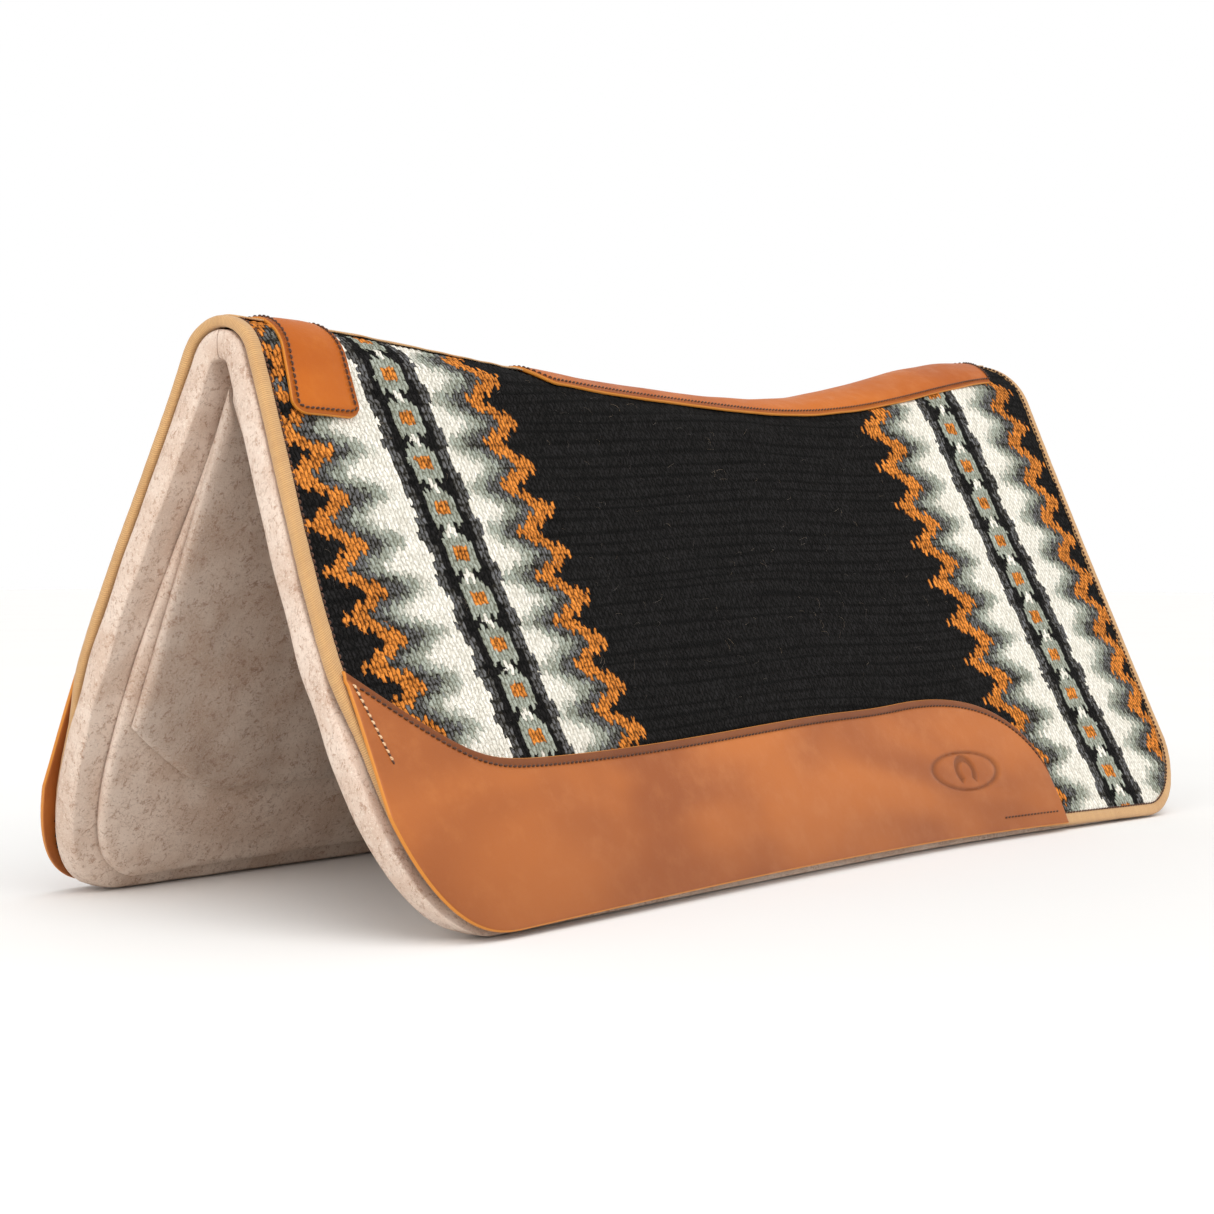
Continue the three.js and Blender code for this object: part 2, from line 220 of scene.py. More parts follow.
def repeated(faces, count, points):
    # the same faces for every copy, each of this many points
    return (faces[None] + (np.arange(count) * points)[:, None, None]).reshape(-1, 4)


def slab(name, upper, lower, outwardSide, uv=None, attributes=None, sharp=50):
    # a closed plate between two grids;
    # outwardSide is +1 where the grid runs anticlockwise seen from outside
    rows, columns = upper.shape[:2]
    under = rows * columns
    faces = [gridFaces(rows, columns), gridFaces(rows, columns, under, flip=True)]
    rim = np.concatenate([
        np.arange(columns), columns * np.arange(1, rows) + columns - 1,
        columns * (rows - 1) + np.arange(columns - 2, -1, -1), columns * np.arange(rows - 2, 0, -1)])
    ahead = np.roll(rim, -1)
    faces.append(np.stack([rim, ahead, ahead + under, rim + under], -1))
    faces = np.concatenate(faces)
    if outwardSide < 0:
        faces = faces[:, ::-1]
    points = np.concatenate([upper.reshape(-1, 3), lower.reshape(-1, 3)])
    twice = lambda values, width: np.concatenate([values.reshape(-1, width)] * 2)
    return meshFrom(
        name, points, faces, None if uv is None else twice(uv, 2),
        {key: twice(values, 1) for key, values in (attributes or {}).items()}, sharp)


def softShares(count, edge):
    # (offset, share, fullness) of each grid line: lines crowd into both edges, where the plate
    # thins out; place = offset + share * (length - 2 edge)
    turn = np.linspace(0.12 * pi, pi / 2, 5)
    inwards = edge * (1 - np.cos(turn)) - edge * (1 - np.cos(turn[0]))
    inwards *= edge / inwards[-1]
    middle = np.linspace(0, 1, count)[1:-1]
    offset = np.concatenate([inwards, edge + 0 * middle, 2 * edge - inwards[::-1]])
    share = np.concatenate([0 * inwards, middle, 1 + 0 * inwards])
    full = np.concatenate([np.sin(turn), 1 + 0 * middle, np.sin(turn[::-1])])
    return offset, share, full


def softGrid(rows, columns, edge):
    offC, shareC, fullC = softShares(columns, edge)
    offR, shareR, fullR = softShares(rows, edge)
    return offR[:, None], shareR[:, None], offC, shareC, np.minimum(fullR[:, None], fullC[None, :])


def waves(x, s, size, seed, count=14):
    # gentle unevenness: a sum of sine waves in seeded directions, of about this wavelength
    r = np.random.default_rng(seed)
    total = 0 * x
    for _ in range(count):
        angle = r.uniform(0, pi)
        length = size * r.uniform(0.6, 1.7)
        start = r.uniform(0, 2 * pi)
        total = total + np.sin(2 * pi * (x * np.cos(angle) + s * np.sin(angle)) / length + start)
    return total / count ** 0.5


def newMaterial(name, roughness, sheen=0.0, coat=0.0, specular=0.5):
    material = bpy.data.materials.new(name)
    material.use_nodes = True
    shader = material.node_tree.nodes["Principled BSDF"]
    settings = {
        "Roughness": roughness, "Sheen Weight": sheen, "Sheen Roughness": 0.6,
        "Coat Weight": coat, "Coat Roughness": 0.35, "Specular IOR Level": specular}
    for key, value in settings.items():
        shader.inputs[key].default_value = value
    return material, Formula(material.node_tree), shader


class Formula:
    # writes formulas on sockets as shader nodes
    def __init__(self, tree):
        self.tree = tree

    def put(self, socket, value):
        if isinstance(value, (int, float, tuple)):
            socket.default_value = value
        else:
            self.tree.links.new(value, socket)

    def node(self, kind, *values, **settings):
        # a node with these settings, its first sockets filled in order
        node = self.tree.nodes.new("ShaderNode" + kind)
        for key, value in settings.items():
            setattr(node, key, value)
        for socket, value in zip(node.inputs, values):
            self.put(socket, value)
        return node

    def math(self, operation, a, b=0.0, c=0.0):
        return self.node("Math", a, b, c, operation=operation).outputs[0]

    def about(self, a, gain): return self.mul(self.sub(a, 0.5), gain)

    def ramp(self, a, low, high, toLow=0.0, toHigh=1.0, smooth=True):
        kind = "SMOOTHSTEP" if smooth else "LINEAR"
        node = self.node("MapRange", a, low, high, toLow, toHigh, interpolation_type=kind)
        return node.outputs[0]

    def vector(self, x, y, z=0.0): return self.node("CombineXYZ", x, y, z).outputs[0]
    def parts(self, vector): return self.node("SeparateXYZ", vector).outputs
    def place(self): return self.node("TexCoord").outputs["Object"]
    def weaveMap(self): return self.node("UVMap", uv_map="weave").outputs[0]
    def attribute(self, name): return self.node("Attribute", attribute_name=name).outputs["Fac"]
    def randoms(self, vector): return self.node("TexWhiteNoise", vector).outputs

    def noise(self, vector, scale, detail=2.0, roughness=0.5, distortion=0.0, output="Fac"):
        node = self.node("TexNoise", vector)
        settings = dict(Scale=scale, Detail=detail, Roughness=roughness, Distortion=distortion)
        for key, value in settings.items():
            node.inputs[key].default_value = value
        return node.outputs[output]

    def cells(self, vector, scale):
        node = self.node("TexVoronoi", vector)
        node.inputs["Scale"].default_value = scale
        return node.outputs["Distance"]

    def mix(self, factor, a, b, blend="MIX"):
        # a colour mix keeps its factor in socket 0 and its colours in 6 and 7
        node = self.node("Mix", factor, data_type="RGBA", blend_type=blend)
        self.put(node.inputs[6], a)
        self.put(node.inputs[7], b)
        return node.outputs[2]

    def paint(self, shader, colour, height, distance, strength):
        node = self.node("Bump")
        node.inputs["Strength"].default_value = strength
        node.inputs["Distance"].default_value = distance
        self.put(node.inputs["Height"], height)
        self.put(shader.inputs["Base Color"], colour)
        self.put(shader.inputs["Normal"], node.outputs[0])

    def stretched(self, vector, scale, turn=(0.0, 0.0, 0.0)):
        node = self.node("Mapping", vector)
        node.inputs["Scale"].default_value = scale
        node.inputs["Rotation"].default_value = turn
        return node.outputs[0]


def addArithmetic(name, operation):
    setattr(Formula, name, lambda f, a, b=0.0: f.math(operation, a, b))


for name, operation in dict(
    add="ADD", sub="SUBTRACT", mul="MULTIPLY", over="DIVIDE", floor="FLOOR", fract="FRACT",
    size="ABSOLUTE", power="POWER", sine="SINE", least="MINIMUM", most="MAXIMUM",
    above="GREATER_THAN", below="LESS_THAN",
).items():
    addArithmetic(name, operation)


def tint(hexCode, gain=1.0):
    # display colour to linear light
    parts = np.array([int(hexCode[k:k + 2], 16) for k in (0, 2, 4)]) / 255
    linear = np.where(parts <= 0.04045, parts / 12.92, ((parts + 0.055) / 1.055) ** 2.4) * gain
    return (*(float(c) for c in linear), 1.0)


# lengths in metres for the cloth, in millimetres from the chain's middle for the pattern;
# phases are shares of one repeat, counted down the flap from the middle of a square
weave = dict(
    columnWidth=0.0029, lean=0.115, floatAt=0.3, floatLong=0.00528, floatGrowth=0.001322,
    sag=0.0117, sagAt=-0.040, sagWide=0.090, firstRow=-11, lastRow=62, rowsPerRepeat=5,
    relief=0.0006, ribs=0.00035, dents=0.00036, jitter=0.00008, sink=0.0004, clear=0.002,
    mirrorX=15.8, bandX=292.4, squareHalf=11.8, squareTall=0.41,
    heartHalf=5.9, heartTall=0.145, bar=3.5, lineIn=17.2, lineOut=25.2, lineWave=1.7, frontInner=10.0,
    sage=(35, 63), charcoal=(50, 78), orange=(65, 92), black=(82, 111),
    front=dict(square=0.05, tip=0.61, rise=0.50), rear=dict(square=0.45, tip=0.42, rise=0.42),
    colours=dict(dark="1A1817", grey="626160", sage="A9AEA0", cream="FCF7EA", orange="E28A38"),
)
# how strongly each feature of the yarn lightens or darkens it; ribRows is ribs per row of floats
yarn = dict(
    dome=0.62, level=0.52, fibres=1.3, ply=0.07, chance=0.26, broad=0.3,
    furrow=0.05, darkFurrow=0.48, ribRows=0.80, drift=2.2,
    contrast=0.50, darkContrast=2.1, least=0.10, warmGreen=1.06, warmBlue=1.22,
)


def wovenMaterial():
    material, f, shader = newMaterial("woven_wool", 0.9, sheen=0.02, specular=0.06)
    mapU, mapV, _ = f.parts(f.weaveMap())
    # the floats' edges waver a little
    stray = f.parts(f.noise(f.vector(f.mul(mapU, 1.7), f.mul(mapV, 2.1), 2.0), 1.0, output="Color"))
    u = f.add(mapU, f.about(stray[0], 0.75))
    v = f.add(mapV, f.about(stray[1], 1.1))
    column = f.floor(u)
    stagger = f.mul(f.math("PINGPONG", column, 1.0), 0.5)
    shifted = f.add(v, stagger)
    row = f.floor(shifted)
    across, along = f.fract(u), f.fract(shifted)
    chance = f.parts(f.randoms(f.vector(column, row, 11.0))["Color"])
    spun = f.vector(f.add(f.mul(u, 4.0), f.mul(v, 1.6)), f.mul(v, 0.9), 1.0)
    fibres = f.noise(spun, 1.0, 4.0, 0.75, 0.4)

    # where this float sits: millimetres out from the chain, outwards positive, and rows as repeats
    place = f.sub(f.mul(f.add(column, 0.5), weave["columnWidth"] * 1000), weave["mirrorX"])
    ahead = f.above(place, 0.0)
    wobble = f.mul(f.sub(f.noise(f.vector(ahead, f.mul(v, 0.25), 5.0), 1.0), 0.5), 4.0)
    xi = f.add(f.sub(f.size(place), weave["bandX"]), wobble)
    rows = f.sub(f.add(row, 0.5), stagger)
    end = lambda key: f.ramp(ahead, 0.0, 1.0, weave["rear"][key], weave["front"][key], smooth=False)
    phase = f.fract(f.sub(f.add(f.over(rows, float(weave["rowsPerRepeat"])), 50.0), end("square")))
    distance = f.size(xi)

    # the chain: rounded squares |x|^4 + |y|^4 < 1 with a small orange heart, a pale bar between them,
    # and a grey line each side that swings in and out once a repeat
    fromMiddle = f.sub(0.5, f.size(f.sub(phase, 0.5)))
    square = f.add(
        f.power(f.over(distance, weave["squareHalf"]), 4.0),
        f.power(f.over(fromMiddle, weave["squareTall"]), 4.0))
    exact = f.fract(f.sub(f.add(f.over(v, float(weave["rowsPerRepeat"])), 50.0), end("square")))
    fromExact = f.sub(0.5, f.size(f.sub(exact, 0.5)))
    heart = f.most(f.over(distance, weave["heartHalf"]), f.over(fromExact, weave["heartTall"]))
    swing = f.mul(f.math("COSINE", f.mul(phase, 2 * pi)), -weave["lineWave"])
    fromLine = f.sub(distance, swing)
    tones = {key: tint(value) for key, value in weave["colours"].items()}
    colour = f.mix(f.below(distance, weave["bar"]), tones["dark"], tones["cream"])
    colour = f.mix(f.below(square, 1.0), colour, tones["sage"])
    colour = f.mix(f.below(heart, 1.0), colour, tones["orange"])
    colour = f.mix(f.above(fromLine, weave["lineIn"]), colour, tones["grey"])

    # nested saw-edged waves: each boundary swings between its two reaches; the pale ones run into
    # each other along the yarn, the orange ones are crisp
    turned = f.fract(f.sub(f.add(phase, 1.0), end("tip")))
    rise = end("rise")
    wave = f.least(f.over(turned, rise), f.over(f.sub(1.0, turned), f.sub(1.0, rise)))
    inner = f.mul(ahead, f.below(xi, 0.0))
    reach = f.add(distance, f.mul(inner, weave["frontInner"]))
    reach = f.add(reach, f.about(chance[0], 2.0))
    beyond = lambda key: f.sub(reach, f.ramp(wave, 0.0, 1.0, *map(float, weave[key]), smooth=False))
    streak = f.add(f.about(fibres, 34.0), f.about(chance[1], 7.0))
    pale = f.mix(f.ramp(f.add(beyond("sage"), streak), -4.0, 5.0), tones["cream"], tones["sage"])
    pale = f.mix(f.ramp(f.add(beyond("charcoal"), streak), -3.0, 4.0), pale, tones["grey"])
    colour = f.mix(f.above(fromLine, weave["lineOut"]), colour, pale)
    colour = f.mix(f.above(beyond("orange"), 0.0), colour, tones["orange"])
    colour = f.mix(f.above(beyond("black"), 0.0), colour, tones["dark"])

    # light and shade of the yarn: rounded floats, twisted plies, fibres, and ribs along the rows;
    # dark yarn shows them most
    twist = f.add(f.add(f.mul(along, 2.0), f.mul(across, 1.6)), chance[2])
    ply = f.sine(f.mul(twist, 2 * pi))
    dome = f.mul(
        f.power(f.sine(f.mul(across, pi)), 0.8),
        f.power(f.sine(f.mul(along, pi)), 0.5))
    ribs = f.noise(f.vector(f.mul(mapU, 0.04), f.mul(mapV, 0.6), 8.0), 1.0, 1.0)
    broad = f.noise(f.vector(f.mul(mapU, 0.10), f.mul(mapV, 0.25), 8.0), 1.0, 2.0)
    shade = f.sub(f.ramp(dome, 0.0, 0.9, 0.0, yarn["dome"]), yarn["level"])
    shade = f.add(shade, f.about(fibres, yarn["fibres"]))
    shade = f.add(shade, f.mul(ply, yarn["ply"]))
    shade = f.add(shade, f.about(chance[2], yarn["chance"]))
    shade = f.add(shade, f.about(broad, yarn["broad"]))
    # dark furrows along the rows where sin(pi * (ribRows * v + drift)) is near 0
    wander = f.noise(f.vector(f.mul(mapU, 0.010), f.mul(mapV, 0.22), 8.0), 1.0, 1.0)
    turns = f.add(f.mul(mapV, yarn["ribRows"]), f.mul(wander, yarn["drift"]))
    crossing = f.size(f.sine(f.mul(turns, pi)))
    furrow = f.mul(f.sub(1.0, f.ramp(crossing, 0.0, 0.75)), f.ramp(ribs, 0.3, 0.6, 0.15, 1.0))
    darkness = f.power(f.sub(1.0, f.parts(colour)[1]), 3.0)
    shade = f.sub(shade, f.mul(furrow, f.add(yarn["furrow"], f.mul(darkness, yarn["darkFurrow"]))))
    contrast = f.add(yarn["contrast"], f.mul(darkness, yarn["darkContrast"]))
    grade = f.most(f.add(1.0, f.mul(shade, contrast)), yarn["least"])
    warm = f.vector(grade, f.power(grade, yarn["warmGreen"]), f.power(grade, yarn["warmBlue"]))
    colour = f.mix(1.0, colour, warm, "MULTIPLY")
    height = f.add(f.add(dome, f.mul(ply, 0.16)), f.sub(f.mul(fibres, 1.1), f.mul(furrow, 0.5)))
    f.paint(shader, colour, height, 0.0009, 0.9)
    return material


def rowPlace(x, v):
    # rows run straight while the ridge dips: s = v * float length
    # + sag * ln cosh((x - sagAt) / sagWide), and the float length grows evenly towards the rear
    t = np.abs((x - weave["sagAt"]) / weave["sagWide"])
    sag = weave["sag"] * (t + np.log1p(np.exp(-2 * t)) - np.log(2))
    return sag + v * (weave["floatLong"] + weave["floatGrowth"] * (weave["floatAt"] - x))


def wovenTop(side, material):
    # grid lines are the yarns themselves, half a column and half a float apart:
    # x = column * width - lean * s
    v, u = np.meshgrid(
        np.arange(weave["firstRow"], weave["lastRow"], 0.5), np.arange(-146, 162, 0.5), indexing="ij")
    s = v * weave["floatLong"]
    for _ in range(8):
        x = u * weave["columnWidth"] - weave["lean"] * s
        s = rowPlace(x, v)
    share = np.clip(s / hemLength(np.clip(x, pad["rearX"], pad["frontX"])), 0, 1)
    inside = (s > 0.0012) & (s < hemLength(x) - weave["clear"] - edgeSetIn(lengthShare(x), 1))
    inside &= x > endX(share, -1, weave["clear"])
    inside &= x < endX(share, 1, weave["clear"] + edgeSetIn(1, share))
    crest = u % 1 == 0.5
    middle = (v + 0.5 * (np.floor(u) % 2)) % 1 == 0.5
    r = np.random.default_rng(3 if side > 0 else 4)
    rise = weave["relief"] * np.where(crest, np.where(middle, 1.0, 0.3), 0.0)
    rise = rise + r.normal(0, weave["jitter"], x.shape)
    rise = rise + weave["ribs"] * waves(u * 0.0003, v * 0.0055, 0.008, 5, 12)
    rise = rise + weave["dents"] * waves(x, s, 0.075, 6) - weave["sink"]
    points = padPoint(x, side * s, -rise)
    faces = gridFaces(*x.shape)
    faces = faces[inside.ravel()[faces].all(1)]
    used = np.unique(faces)
    number = np.zeros(x.size, int)
    number[used] = np.arange(len(used))
    faces = number[faces] if side > 0 else number[faces][:, ::-1]
    uv = np.stack([u, v], -1).reshape(-1, 2)[used]
    piece = meshFrom(sided("wovenTop", side), points.reshape(-1, 3)[used], faces, uv, sharp=0)
    return dressed(piece, material)


felt = dict(
    baseDepth=0.0066, baseThick=0.0142, baseEdge=0.0022,
    panelDepth=0.0208, panelThick=0.0066, panelBorder=0.018, panelEdge=0.006, panelSetDown=0.014,
    barDepth=0.0272, barThick=0.0066, barEdge=0.006,
    lumps=0.0005,
    pale="DCC8B8", mid="CAB09D", dark="A3806A", fleck="7C5844",
)


def feltMaterial(name, gain):
    material, f, shader = newMaterial(name, 0.95, sheen=0.05, specular=0.1)
    place = f.place()
    # blended fleece: clouds of tone, brown drifts of short fibres, pale fibres over them, dark flecks
    clouds = f.noise(place, 30.0, 3.0, 0.6)
    drifts = f.noise(f.stretched(place, (1.0, 1.3, 1.0), (0.3, 0.2, 0.5)), 170.0, 4.0, 0.7, 1.0)
    fibres = f.noise(f.stretched(place, (1.0, 1.8, 1.0), (0.4, 0.2, 0.0)), 460.0, 3.0, 0.75, 1.0)
    crossed = f.noise(f.stretched(place, (2.0, 1.0, 1.3), (0.0, 0.5, 0.9)), 700.0, 3.0, 0.75, 1.2)
    colour = f.mix(f.ramp(clouds, 0.35, 0.65), tint(felt["mid"], gain), tint(felt["pale"], gain))
    brown = f.ramp(f.add(f.mul(drifts, 0.6), f.mul(fibres, 0.4)), 0.50, 0.62, 0.0, 0.75)
    colour = f.mix(brown, colour, tint(felt["dark"], gain))
    colour = f.mix(f.ramp(crossed, 0.52, 0.66, 0.0, 0.65), colour, tint("E6DACB", gain))
    flecks = f.noise(f.stretched(place, (1.0, 2.6, 1.0), (0.9, 0.1, 0.6)), 300.0, 2.0, 0.6, 1.5)
    colour = f.mix(f.ramp(flecks, 0.56, 0.70, 0.0, 0.35), colour, tint(felt["fleck"], gain))
    height = f.add(f.mul(fibres, 0.8), f.add(f.mul(crossed, 0.6), f.mul(drifts, 0.5)))
    f.paint(shader, colour, height, 0.0006, 0.6)
    return material


def feltLayer(name, side, border, depth, thick, edge, hem, setDown, rows, columns, seed):
    offC, shareC, fullC = softShares(columns, edge)
    offR, shareR, fullR = softShares(rows, edge)
    fullR = np.where(np.arange(len(fullR)) < 6, 1.0, fullR) if setDown == 0 else fullR
    full = np.minimum(fullR[:, None], fullC[None, :])
    v = (offR + shareR * (0.37 - 2 * edge)) / 0.37
    low, high = endX(v, -1, border)[:, None], endX(v, 1, border)[:, None]
    x = low + offC + shareC * (high - low - 2 * edge)
    middle = depth + thick / 2

    def face(sign):
        d = middle - sign * thick / 2 * full
        top = ridgeStart(x, d) + setDown
        s = top + offR[:, None] + shareR[:, None] * (hem(x, d) - top - 2 * edge)
        d = d - sign * felt["lumps"] * waves(x, s, 0.045, seed) * (full ** 2)
        return padPoint(x, side * s, d)

    return slab(name, face(1), face(-1), side, sharp=60)


def feltBase(side):
    return feltLayer(
        sided("feltBase", side), side, 0.0, felt["baseDepth"], felt["baseThick"],
        felt["baseEdge"], groundLength, 0.0, 90, 120, 21)


def feltPanel(side):
    hem = lambda x, d: hemLength(x) - felt["panelBorder"]
    return feltLayer(
        sided("feltPanel", side), side, felt["panelBorder"], felt["panelDepth"], felt["panelThick"],
        felt["panelEdge"], hem, felt["panelSetDown"], 80, 110, 22)


wear = dict(
    rearX=-0.232, frontX=0.411, rearRound=0.090, crestS=0.261, seatS=0.240, seatX=-0.020,
    noseX=0.330, noseSoft=0.012, noseDrop=0.052, noseBend=1.15, heelX=-0.080, heelBend=2.2,
    depth=-0.0054, thick=0.0030, edge=0.0016, stitchInset=0.0048,
    sink=0.0007, groove=0.0007, grooveWide=0.0016, puff=0.00048, settle=0.00048,
)


def wearTop(x):
    # nearly level over the flap, falling in a quarter ellipse behind and a slant in front
    soft = wear["noseSoft"]
    nose = soft * np.logaddexp(0, (x - wear["noseX"]) / soft) / (wear["frontX"] - wear["noseX"])
    heel = np.clip((wear["heelX"] - x) / (wear["heelX"] - wear["rearX"]), 0, 1)
    crest = wear["seatS"] + (wear["crestS"] - wear["seatS"]) * smooth(x, wear["seatX"], wear["noseX"])
    drop = 1 - np.sqrt(1 - heel ** wear["heelBend"])
    return crest - wear["noseDrop"] * nose ** wear["noseBend"] + wear["rearRound"] * drop


def wearBottom(x):
    end = pad["frontEnd"]
    past = np.clip((x - (pad["frontX"] + end["bow"] - end["long"])) / end["long"], 0, 1)
    return hemLength(x) - end["high"] * (1 - (1 - past ** end["round"]) ** (1 / end["round"]))


bar = dict(
    channel=0.080, tabTop=0.036, tabFrontX=0.392, tabWidth=0.017, tabCorner=0.010, tabSetDown=0.003,
    rearBorder=0.029, crowd=0.8, noseX=0.320, noseRise=0.040, noseBend=1.3,
    belowWear=0.014, levelX=(-0.060, 0.300),
)


def feltBar(side):
    # columns run down the flap; the top edge steps up round a corner to the front tab
    edge = felt["barEdge"]
    offR, shareR, offC, shareC, full = softGrid(40, 150, edge)
    rear, front = pad["rearX"] + bar["rearBorder"], bar["tabFrontX"]
    t = shareC ** bar["crowd"]
    x = rear + offC + t * (front - rear - 2 * edge) + 0 * shareR
    middle = felt["barDepth"] + felt["barThick"] / 2
    tabRear = bar["tabFrontX"] - bar["tabWidth"]
    rise = smooth(x, tabRear - bar["tabCorner"], tabRear)
    nose = np.maximum(x - bar["noseX"], 0) / (bar["tabFrontX"] - bar["noseX"])
    bottom = wearTop(np.clip(x, *bar["levelX"])) + bar["belowWear"]
    bottom = bottom - bar["noseRise"] * nose ** bar["noseBend"]

    def face(sign):
        d = middle - sign * felt["barThick"] / 2 * full
        top = bar["channel"] - (bar["channel"] - bar["tabTop"]) * rise
        top = np.maximum(top, ridgeStart(x, d) + bar["tabSetDown"])
        s = top + offR + shareR * (bottom - top - 2 * edge)
        d = d - sign * felt["lumps"] * waves(x, s, 0.045, 23) * full ** 2
        return padPoint(x, side * s, d)

    return slab(sided("feltBar", side), face(1), face(-1), side, sharp=60)


def leatherMaterial(name, base, pale, dark, raw, roughness):
    material, f, shader = newMaterial(name, roughness, coat=0.02, specular=0.24)
    place = f.place()
    margin = f.attribute("margin")  # 1 between the stitches and the edge, 0 inside
    cut = f.attribute("cut")  # 1 on the cut edge itself
    clouds = f.noise(f.stretched(place, (1.0, 1.0, 2.2)), 7.0, 1.5, 0.5, 0.4)
    mottle = f.noise(place, 60.0, 4.0, 0.65)
    colour = f.mix(f.ramp(clouds, 0.32, 0.68), tint(dark), tint(base))
    colour = f.mix(f.ramp(mottle, 0.45, 0.8, 0.0, 0.22), colour, tint(pale))
    # painted shade darkening the leather towards the floor, and pressed dark in the mark
    colour = f.mix(f.ramp(f.parts(place)[2], 0.0, 0.075, 0.45, 0.0), colour, tint(dark, 0.62))
    colour = f.mix(f.mul(f.attribute("pressed"), 0.5), colour, tint(dark, 0.3))
    colour = f.mix(f.mul(margin, 0.75), colour, tint(dark, 0.42))
    colour = f.mix(cut, colour, tint(raw))
    pores = f.cells(place, 1500.0)
    creases = f.noise(f.stretched(place, (1.0, 1.0, 2.0)), 240.0, 5.0, 0.7)
    f.put(shader.inputs["Roughness"], f.ramp(mottle, 0.3, 0.8, roughness + 0.08, roughness - 0.08))
    f.paint(shader, colour, f.add(f.mul(pores, 0.35), f.mul(creases, 0.9)), 0.00035, 0.45)
    return material


# a plain horseshoe in an oval ring, pressed into the leather
mark = dict(
    x=-0.134, s=0.2965, halfLong=0.037, halfHigh=0.0130, line=0.0010, depth=0.0013, slant=0.16,
    shoe=0.0092, shoeLine=0.0016, gap=(0.25 * pi, 0.75 * pi),
)


def markDepth(x, s):
    # two grooves, one along an ellipse and one along an open horseshoe arc
    a = x - mark["x"]
    b = s - mark["s"] + mark["slant"] * a
    ellipse = np.sqrt((a / mark["halfLong"]) ** 2 + (b / mark["halfHigh"]) ** 2)
    ring = np.abs(ellipse - 1) * mark["halfHigh"]
    shoe = np.hypot(a, b * 1.05)
    angle = np.arctan2(b, a)
    inGap = (angle > mark["gap"][0]) & (angle < mark["gap"][1])
    arc = np.where(inGap, 1.0, np.abs(shoe - mark["shoe"]) - mark["shoeLine"])
    groove = lambda distance: np.exp(-(np.maximum(distance, 0) / mark["line"]) ** 2)
    return mark["depth"] * np.maximum(groove(ring), groove(arc))


def wearLeather(side, material):
    edge = wear["edge"]
    offR, shareR, offC, shareC, full = softGrid(120, 340, edge)
    # columns crowd towards the pressed mark
    spread = lambda t, at, gain, wide: t - gain * wide * np.tanh((t - at) / wide)
    t = spread(shareC, 0.155, 0.62, 0.09)
    t = (t - t.min()) / (t.max() - t.min())
    x = wear["rearX"] + offC + t * (wear["frontX"] - wear["rearX"] - 2 * edge) + 0 * shareR
    top, bottom = wearTop(x), wearBottom(x)
    s = top + offR + shareR * np.maximum(bottom - top - 2 * edge, 0.0005)
    fromTop, fromBottom = s - top, bottom - s
    inset = wear["stitchInset"]
    groove = wear["groove"] * np.exp(-((fromTop - inset) / wear["grooveWide"]) ** 2)
    puff = wear["puff"] * smooth(fromTop, inset, 0.03) * smooth(fromBottom, 0.0, 0.03)
    settle = wear["settle"] * waves(x, s, 0.16, 31)
    settle = settle * smooth(fromTop, 0.0, 0.03) * smooth(fromBottom, 0.0, 0.02)
    middle = wear["depth"] + wear["thick"] / 2 + wear["sink"] + groove - puff + settle
    upper = middle - wear["thick"] / 2 * full + markDepth(x, s) * (full > 0.99)
    lower = middle + wear["thick"] / 2 * full
    margin = (1 - smooth(fromTop, inset - 0.001, inset + 0.0005)) * (fromBottom > 0.004)
    cut = (full < 0.75).astype(float)
    attributes = {"margin": margin, "cut": cut, "pressed": markDepth(x, s) / mark["depth"]}
    outer, inner = padPoint(x, side * s, upper), padPoint(x, side * s, lower)
    piece = slab(sided("wearLeather", side), outer, inner, side, attributes=attributes)
    return dressed(piece, material)


ridgeLeather = dict(
    thick=0.0026, middle=-0.0014, lift=0.0005, liftReach=0.014, groove=0.0006, grooveWide=0.0014,
    edge=0.0014, stitchInset=0.0034, threadDepth=-0.0030,
)
patch = dict(rearX=0.334, frontX=0.376, reach=0.069, corner=0.009, lean=0.17, rearLean=0.35)
strip = dict(
    rearX=-0.392, frontX=0.168, nose=0.018, frontReach=0.024, rearReach=0.039,
    taper=(-0.330, 0.060), blunt=0.04, tail=0.060, tailSkew=0.7,
)


def patchReach(x):
    into = np.maximum(patch["corner"] - np.minimum(x - patch["rearX"], patch["frontX"] - x), 0)
    return patch["reach"] - patch["corner"] + np.sqrt(np.maximum(patch["corner"] ** 2 - into ** 2, 0))


def patchSkew(x):
    share = (x - patch["rearX"]) / (patch["frontX"] - patch["rearX"])
    return patch["lean"] * (patch["rearLean"] + (1 - patch["rearLean"]) * share)


def stripReach(x):
    wide = smooth(x, *strip["taper"])
    reach = strip["rearReach"] + (strip["frontReach"] - strip["rearReach"]) * wide
    into = np.clip((x - (strip["frontX"] - strip["nose"])) / strip["nose"], 0, 1)
    return reach * np.sqrt(np.maximum(1 - into ** 2, strip["blunt"]))


def stripSkew(x):
    return strip["tailSkew"] * np.maximum(1 - (x - strip["rearX"]) / strip["tail"], 0) ** 2


